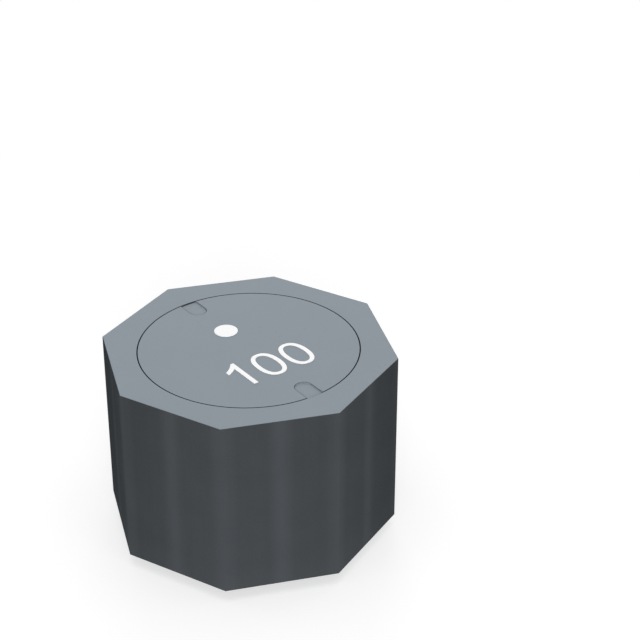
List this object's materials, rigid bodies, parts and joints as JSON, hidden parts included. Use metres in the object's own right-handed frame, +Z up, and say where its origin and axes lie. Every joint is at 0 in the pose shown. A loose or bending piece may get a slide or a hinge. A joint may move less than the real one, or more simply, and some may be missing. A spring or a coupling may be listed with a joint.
{
  "type": "shielded surface-mount power inductor",
  "caption": "Shielded surface-mount power inductor: wound ferrite drum core in an octagonal ferrite sleeve, flat tinned terminals under the lower flange.",
  "frame": {"origin": "centre of the seating plane, on the axis of the drum core, at the underside of both terminals", "axes": "+Z up along the axis of the drum core, +Y from the axis towards the start terminal and the white dot, +X to the right of it seen from above"},
  "size_m": [0.013, 0.013, 0.0088],
  "materials": {
    "ferrite": "matte",
    "enamelled_wire": "gloss",
    "tinned_copper": "satin",
    "solder": "gloss",
    "epoxy": "satin",
    "white_ink": "matte"
  },
  "bodies": {
    "root": {"shield_core": "ferrite", "drum_core": "ferrite", "winding": "enamelled_wire", "start_terminal": "tinned_copper", "finish_terminal": "tinned_copper", "start_terminal_bond": "epoxy", "finish_terminal_bond": "epoxy", "start_solder": "solder", "finish_solder": "solder", "upper_core_bond": "epoxy", "lower_core_bond": "epoxy", "polarity_dot": "white_ink"}
  },
  "joints": []
}
